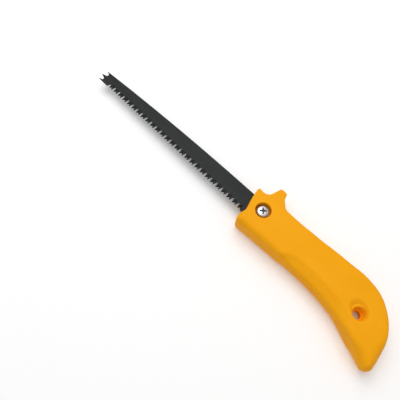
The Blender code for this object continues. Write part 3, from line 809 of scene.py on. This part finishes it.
def recess_arm(angle):
    """One slot of the cross recess: a wedge that narrows downwards."""
    source = bmesh.new()
    rings = []
    cos, sin = math.cos(angle), math.sin(angle)
    for z, half_length, half_width in RECESS_ARM:
        ring = []
        for x, y in ((1, 1), (-1, 1), (-1, -1), (1, -1)):
            px, py = x * half_length, y * half_width
            ring.append(source.verts.new((px * cos - py * sin, px * sin + py * cos, HEAD_TOP + z)))
        rings.append(ring)
    wall(source, rings[0], rings[1])
    source.faces.new(rings[0])
    source.faces.new(rings[1])
    return linked(f"recess_{angle:.2f}", source, SCREW_AXIS)


def in_recess(face):
    """True for a face of the cross recess, which is given painted shade: steep, or well below the head's
    top.
    """
    x, y, z = face.center
    depth = HEAD_TOP - z
    sunk = face.normal.z < STEEP or depth > DOME_DEPTH
    return math.hypot(x, y) < RECESS_REACH and depth < RECESS_DEEPEST and sunk


def captive_washer():
    """Plain washer with softened edges."""
    inner, outer, soft = WASHER_BORE, WASHER_RADIUS, WASHER_SOFT
    profile = [(inner + soft, WASHER_LOW), (outer - soft, WASHER_LOW), (outer, WASHER_LOW + soft),
               (outer, WASHER_TOP - soft), (outer - soft, WASHER_TOP), (inner + soft, WASHER_TOP),
               (inner, WASHER_TOP - soft), (inner, WASHER_LOW + soft)]
    made = revolved("captive_washer_fine", profile)
    smooth(made, HARDWARE_SMOOTH_DEG)
    return made


def clamp_nut():
    """Hexagon nut with chamfered corners and a thread that meshes with the screw's."""
    corner = NUT_CORNER_RADIUS
    nut = between("clamp_nut_fine", [circle((0, 0), corner, 6)], NUT_OUTER, NUT_INNER,
                  location=SCREW_AXIS)
    face = corner * math.cos(math.pi / 6) - NUT_FACE_MARGIN
    outside = corner + 0.1 * MM
    barrel = [(0, NUT_OUTER - 1 * MM), (face, NUT_OUTER - 0.01 * MM), (outside, NUT_OUTER + NUT_CHAMFER),
              (outside, NUT_INNER - NUT_CHAMFER), (face, NUT_INNER + 0.01 * MM), (0, NUT_INNER + 1 * MM)]
    cut(nut, [revolved("nut_barrel", barrel, sides=96)], "INTERSECT")
    step = THREAD_PITCH / THREAD_RINGS
    count = int((NUT_INNER - NUT_OUTER) / step) + 1
    root = NUT_THREAD[1]
    flare = 0.5 * MM
    bore = [(0, NUT_OUTER - flare), (root + flare, NUT_OUTER - flare), (root, NUT_OUTER + 0.1 * MM)]
    heights = [NUT_OUTER + NUT_THREAD_LEAD + k * step for k in range(count - 4)]
    bore += [(thread_radius(z, NUT_THREAD), z) for z in heights]
    bore += [(root, NUT_INNER - 0.1 * MM), (root + flare, NUT_INNER + flare), (0, NUT_INNER + flare)]
    cut(nut, [revolved("nut_bore", bore)])
    smooth(nut, HARDWARE_SMOOTH_DEG)
    return nut


# ---------------------------------------------------------------- materials

class Nodes:
    """A material's node tree with short calls to add nodes."""

    def __init__(self, name, **principled):
        self.material = bpy.data.materials.new(name)
        self.material.use_nodes = True
        self.tree = self.material.node_tree
        self.shader = self.tree.nodes["Principled BSDF"]
        for key, value in principled.items():
            self.shader.inputs[key.replace("_", " ")].default_value = value

    def add(self, kind, inputs=None, **settings):
        """Adds a node; inputs maps socket names or numbers to values or to other nodes' outputs."""
        node = self.tree.nodes.new(kind)
        for key, value in settings.items():
            setattr(node, key, value)
        for key, value in (inputs or {}).items():
            self.set(node.inputs[key], value)
        return node

    def set(self, socket, value):
        """Links an output to a socket, or sets the socket's value."""
        if isinstance(value, bpy.types.NodeSocket):
            self.tree.links.new(value, socket)
        else:
            socket.default_value = value

    def place(self, scale):
        """Object coordinates stretched by a scale for each axis."""
        where = self.add("ShaderNodeTexCoord").outputs["Object"]
        return self.add("ShaderNodeMapping", {"Vector": where, "Scale": scale}).outputs["Vector"]

    def noise(self, scale, detail=3.0, roughness=0.5):
        """Noise in object space; scale is in cells per metre for each axis."""
        return self.add("ShaderNodeTexNoise", {"Vector": self.place(scale), "Scale": 1.0, "Detail": detail,
                                               "Roughness": roughness}).outputs["Fac"]

    def ramp(self, value, low, high, out_low, out_high):
        """A value mapped from one range to another."""
        return self.add("ShaderNodeMapRange", {"Value": value, "From Min": low, "From Max": high,
                                               "To Min": out_low, "To Max": out_high}).outputs["Result"]

    def mix(self, factor, first, second):
        """A mix of two colours."""
        node = self.add("ShaderNodeMix", data_type="RGBA")
        self.set(node.inputs["Factor"], factor)
        self.set(node.inputs["A"], first)
        self.set(node.inputs["B"], second)
        return node.outputs["Result"]

    def bump(self, height, strength, distance, normal=None):
        """A bump from a height."""
        node = self.add("ShaderNodeBump", {"Height": height, "Strength": strength, "Distance": distance})
        if normal is not None:
            self.set(node.inputs["Normal"], normal)
        return node.outputs["Normal"]


def moulded_plastic():
    """Satin orange plastic: faint flow marks, fine orange peel, and patchy roughness."""
    n = Nodes("moulded_plastic", Roughness=0.42, IOR=1.3, Specular_IOR_Level=0.12, Subsurface_Weight=0.02)
    n.shader.inputs["Subsurface Radius"].default_value = (1.0, 0.5, 0.1)
    n.shader.inputs["Subsurface Scale"].default_value = 0.8 * MM
    flow = n.noise((35, 90, 60), detail=2)
    fine = n.noise((1600, 1600, 1600), detail=2)
    scuff = n.noise((220, 900, 500), detail=4, roughness=0.65)
    colour = n.mix(n.ramp(flow, 0.3, 0.7, 0, 1), (0.93, 0.385, 0.005, 1), (0.96, 0.41, 0.008, 1))
    n.set(n.shader.inputs["Base Color"], colour)
    rough = n.ramp(scuff, 0.35, 0.75, 0.42, 0.54)
    n.set(n.shader.inputs["Roughness"], rough)
    peel = n.bump(fine, 0.06, 0.05 * MM)
    n.set(n.shader.inputs["Normal"], n.bump(flow, 0.05, 0.3 * MM, peel))
    return n.material


def coated_steel():
    """Black baked coating over rolled steel: grain along the blade and small scuffs."""
    n = Nodes("coated_steel", Roughness=0.45, Specular_IOR_Level=0.18)
    grain = n.noise((60, 5200, 900), detail=4, roughness=0.6)
    cloud = n.noise((45, 120, 120), detail=3)
    scratch = n.noise((30, 1500, 1500), detail=2, roughness=0.7)
    base = n.mix(n.ramp(cloud, 0.3, 0.7, 0, 1), (0.010, 0.0125, 0.0125, 1), (0.015, 0.018, 0.018, 1))
    worn = n.mix(n.ramp(scratch, 0.66, 0.74, 0, 0.3), base, (0.05, 0.053, 0.055, 1))
    n.set(n.shader.inputs["Base Color"], worn)
    n.set(n.shader.inputs["Roughness"], n.ramp(grain, 0.3, 0.7, 0.36, 0.52))
    n.set(n.shader.inputs["Normal"], n.bump(grain, 0.12, 0.02 * MM))
    return n.material


def ground_steel():
    """The ground facets of the teeth and spikes: blackened, with marks across the facet."""
    n = Nodes("ground_steel", Roughness=0.3, Metallic=0.6)
    marks = n.noise((5000, 500, 500), detail=3, roughness=0.6)
    n.set(n.shader.inputs["Base Color"], n.mix(n.ramp(marks, 0.35, 0.65, 0, 1), (0.012, 0.013, 0.014, 1),
                                               (0.03, 0.032, 0.034, 1)))
    n.set(n.shader.inputs["Roughness"], n.ramp(marks, 0.3, 0.7, 0.25, 0.42))
    n.set(n.shader.inputs["Normal"], n.bump(marks, 0.15, 0.02 * MM))
    return n.material


def zinc_plate():
    """Bright zinc plating: crystalline patches with slightly different gloss."""
    n = Nodes("zinc_plate", Metallic=1.0, Roughness=0.25)
    cells = n.add("ShaderNodeTexVoronoi", {"Vector": n.place((1500, 1500, 1500)), "Scale": 1.0})
    grey = n.add("ShaderNodeSeparateColor", {"Color": cells.outputs["Color"]}).outputs["Red"]
    n.set(n.shader.inputs["Base Color"], n.mix(grey, (0.50, 0.50, 0.51, 1), (0.60, 0.59, 0.57, 1)))
    n.set(n.shader.inputs["Roughness"], n.ramp(grey, 0, 1, 0.28, 0.4))
    n.set(n.shader.inputs["Normal"], n.bump(n.noise((2200, 2200, 2200)), 0.08, 0.03 * MM))
    return n.material


def painted_recess_shade():
    """The cross recess: zinc painted dark as shade in the recess, matt, with fine streaks."""
    n = Nodes("painted_recess_shade", Metallic=0.7, Roughness=0.5)
    streaks = n.noise((900, 900, 4500), detail=3)
    n.set(n.shader.inputs["Base Color"], n.mix(streaks, (0.09, 0.09, 0.10, 1), (0.24, 0.24, 0.26, 1)))
    n.set(n.shader.inputs["Roughness"], n.ramp(streaks, 0.3, 0.7, 0.42, 0.6))
    n.set(n.shader.inputs["Normal"], n.bump(streaks, 0.1, 0.02 * MM))
    return n.material


def floor_material():
    """Pale matt table top."""
    n = Nodes("pale_floor", Roughness=0.85, Emission_Strength=0.13)
    n.shader.inputs["Emission Color"].default_value = (1, 1, 1, 1)
    grain = n.noise((260, 260, 260), detail=2)
    n.set(n.shader.inputs["Base Color"], n.mix(grain, (0.91, 0.91, 0.91, 1), (0.93, 0.93, 0.93, 1)))
    return n.material


# ---------------------------------------------------------------- stage

CAMERA_AT = Vector((50.5, -118.0, 0)) * MM      # foot of the camera in the bench frame
CAMERA_HEIGHT = 300 * MM
CAMERA_RIGHT = Vector((0.69075, 0.72215, 0.03688))
CAMERA_UP = Vector((-0.66536, 0.61481, 0.42344))
CAMERA_LENS = 38.04
WORLD_GLOW = (0.0, 0.6, 0.1, 0.62)      # height of a direction from, to, and the light's strength there
KEY_LIGHT_AT = (-0.3, 0.2, 0.85)
KEY_LIGHT_SIZE = 0.8
KEY_LIGHT_POWER = 4.8
FLOOR_REACH = 12.0


def camera():
    """The camera at the photograph's angle."""
    data = bpy.data.cameras.new("camera")
    data.lens = CAMERA_LENS
    data.sensor_width = 36.0
    data.clip_start = 0.01
    made = bpy.data.objects.new("camera", data)
    back = CAMERA_RIGHT.cross(CAMERA_UP).normalized()
    up = back.cross(CAMERA_RIGHT).normalized()
    axes = Matrix((CAMERA_RIGHT.normalized(), up, back)).transposed()
    foot = BENCH + CAMERA_AT
    made.matrix_world = Matrix.Translation((foot.x, foot.y, CAMERA_HEIGHT)) @ axes.to_4x4()
    bpy.context.scene.collection.objects.link(made)
    bpy.context.scene.camera = made


def key_light():
    """A soft square light that points at the saw."""
    data = bpy.data.lights.new("key", "AREA")
    data.shape = "SQUARE"
    data.size = KEY_LIGHT_SIZE
    data.energy = KEY_LIGHT_POWER
    made = bpy.data.objects.new("key", data)
    made.location = KEY_LIGHT_AT
    made.rotation_mode = "QUATERNION"
    made.rotation_quaternion = (-Vector(KEY_LIGHT_AT)).to_track_quat("-Z", "Y")
    bpy.context.scene.collection.objects.link(made)


def studio():
    """Floor, light and surroundings."""
    source = bmesh.new()
    bmesh.ops.create_grid(source, x_segments=8, y_segments=8, size=FLOOR_REACH)
    floor = linked("floor", source, location=(0, 0, CAD_BOX[0].z))
    floor.data.materials.append(floor_material())
    key_light()
    world = bpy.data.worlds.new("studio")
    world.use_nodes = True
    tree = world.node_tree
    direction = tree.nodes.new("ShaderNodeTexCoord").outputs["Generated"]
    parts = tree.nodes.new("ShaderNodeSeparateXYZ")
    tree.links.new(direction, parts.inputs["Vector"])
    glow = tree.nodes.new("ShaderNodeMapRange")
    tree.links.new(parts.outputs["Z"], glow.inputs["Value"])
    for socket, value in zip(("From Min", "From Max", "To Min", "To Max"), WORLD_GLOW):
        glow.inputs[socket].default_value = value
    tree.links.new(glow.outputs["Result"], tree.nodes["Background"].inputs["Strength"])
    tree.nodes["Background"].inputs["Color"].default_value = (1, 1, 1, 1)
    bpy.context.scene.world = world
    bpy.context.scene.view_settings.view_transform = "Standard"


# ---------------------------------------------------------------- assembly

def dress(piece, body, node, slot, *materials):
    """Gives a piece its materials, puts it on the body it rides on, and hides the model's part that it
    replaces.
    """
    piece.data.materials.clear()
    for material in materials:
        piece.data.materials.append(material)
    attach(piece, body)
    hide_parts(node)


def main():
    """Builds the saw, the camera and the stage."""
    plastic, coating, ground, zinc = moulded_plastic(), coated_steel(), ground_steel(), zinc_plate()
    screw_side, nut_side = handle_shells()
    dress(screw_side, "handle", "screw_side_shell", "handle_plastic", plastic)
    dress(nut_side, "handle", "nut_side_shell", "handle_plastic", plastic)
    blade = saw_blade()
    dress(blade, "blade", "saw_blade", "blade_steel", coating, ground)
    for face in blade.data.polygons:
        face.material_index = int(GROUND_TILT[0] < abs(face.normal.z) < GROUND_TILT[1])
    screw = clamp_screw()
    dress(screw, "screw", "clamp_screw", "fastener_steel", zinc, painted_recess_shade())
    # faces of the cross recess take the second material, painted shade
    for face in screw.data.polygons:
        face.material_index = int(in_recess(face))
    dress(captive_washer(), "washer", "captive_washer", "fastener_steel", zinc)
    dress(clamp_nut(), "handle", "clamp_nut", "fastener_steel", zinc)
    camera()
    studio()


main()
